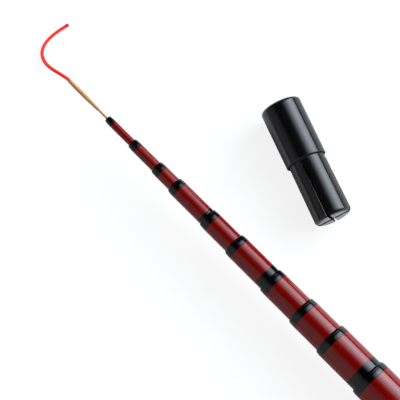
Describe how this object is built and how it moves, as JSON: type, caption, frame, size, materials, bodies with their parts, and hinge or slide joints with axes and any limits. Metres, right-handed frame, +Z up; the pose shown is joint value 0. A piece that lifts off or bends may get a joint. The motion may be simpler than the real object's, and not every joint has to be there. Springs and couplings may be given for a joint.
{
  "type": "tenkara rod",
  "caption": "Telescopic tenkara rod partly drawn out, with red and black banded tubes, a lilian cord at the tip, a cork grip, a screw-in butt cap and its slotted mouth plug beside it.",
  "frame": {"origin": "centre of the butt cap's flat end face, on the rod's axis", "axes": "+X along the rod from the butt to the tip, +Z up, away from the surface that the grip lies on"},
  "size_m": [0.6282, 0.0855, 0.027],
  "materials": {
    "black_lacquer": "gloss",
    "red_lacquer": "gloss",
    "tan_varnish": "satin",
    "red_braid": "matte",
    "plug_black": "satin",
    "cork": "matte",
    "dark_cork": "matte",
    "black_aluminium": "satin",
    "brass": "satin",
    "black_rubber": "matte"
  },
  "bodies": {
    "handle": {"handle_tube": "black_lacquer", "handle_red_wrap": "red_lacquer", "cork_grip": "cork", "grip_butt_ring": "dark_cork", "grip_front_ring": "dark_cork", "winding_check": "black_aluminium", "threaded_insert": "brass"},
    "section_9": {"section_9_tube": "black_lacquer", "section_9_red_wrap": "red_lacquer"},
    "section_8": {"section_8_tube": "black_lacquer", "section_8_red_wrap": "red_lacquer"},
    "section_7": {"section_7_tube": "black_lacquer", "section_7_red_wrap": "red_lacquer"},
    "section_6": {"section_6_tube": "black_lacquer", "section_6_red_wrap": "red_lacquer"},
    "section_5": {"section_5_tube": "black_lacquer", "section_5_red_wrap": "red_lacquer"},
    "section_4": {"section_4_tube": "black_lacquer", "section_4_red_wrap": "red_lacquer"},
    "section_3": {"section_3_tube": "black_lacquer", "section_3_red_wrap": "red_lacquer"},
    "section_2": {"section_2_tube": "black_lacquer", "section_2_red_wrap": "red_lacquer"},
    "section_1": {"section_1_tube": "black_lacquer", "section_1_red_wrap": "red_lacquer"},
    "tip": {"tip_rod": "tan_varnish", "lilian_sleeve": "tan_varnish", "lilian": "red_braid"},
    "pad": {"damping_pad": "black_rubber"},
    "cap": {"butt_cap": "black_aluminium", "cap_seal_ring": "black_rubber"},
    "plug": {"mouth_plug": "plug_black"}
  },
  "joints": [
    {"name": "section_9_slide", "type": "slide", "parent": "handle", "child": "section_9", "axis": [1, 0, 0], "range_m": [-0.066, 0.28768]},
    {"name": "section_8_slide", "type": "slide", "parent": "section_9", "child": "section_8", "axis": [1, 0, 0], "range_m": [-0.02143, 0.29057]},
    {"name": "section_7_slide", "type": "slide", "parent": "section_8", "child": "section_7", "axis": [1, 0, 0], "range_m": [-0.02257, 0.28643]},
    {"name": "section_6_slide", "type": "slide", "parent": "section_7", "child": "section_6", "axis": [1, 0, 0], "range_m": [-0.02675, 0.27925]},
    {"name": "section_5_slide", "type": "slide", "parent": "section_6", "child": "section_5", "axis": [1, 0, 0], "range_m": [-0.02048, 0.28252]},
    {"name": "section_4_slide", "type": "slide", "parent": "section_5", "child": "section_4", "axis": [1, 0, 0], "range_m": [-0.02485, 0.27515]},
    {"name": "section_3_slide", "type": "slide", "parent": "section_4", "child": "section_3", "axis": [1, 0, 0], "range_m": [-0.01497, 0.28203]},
    {"name": "section_2_slide", "type": "slide", "parent": "section_3", "child": "section_2", "axis": [1, 0, 0], "range_m": [-0.01934, 0.27466]},
    {"name": "section_1_slide", "type": "slide", "parent": "section_2", "child": "section_1", "axis": [1, 0, 0], "range_m": [-0.01972, 0.27128]},
    {"name": "tip_slide", "type": "slide", "parent": "section_1", "child": "tip", "axis": [1, 0, 0], "range_m": [-0.0238, 0.2642], "deforming": ["lilian"]},
    {"name": "cap_travel", "type": "slide", "parent": "handle", "child": "pad", "axis": [-1, 0, 0], "range_m": [0, 0.012]},
    {"name": "cap_turn", "type": "hinge", "parent": "pad", "child": "cap", "pos_m": [0, 0, 0], "axis": [-1, 0, 0], "range_deg": [0, 4320]},
    {"name": "plug_lift", "type": "slide", "parent": "handle", "child": "plug", "axis": [0, 0, 1], "range_m": [0, 0.15]}
  ],
  "couplings": [
    {"joint": "cap_travel", "follows": "cap_turn", "m_per_rad": 0.00015915}
  ]
}
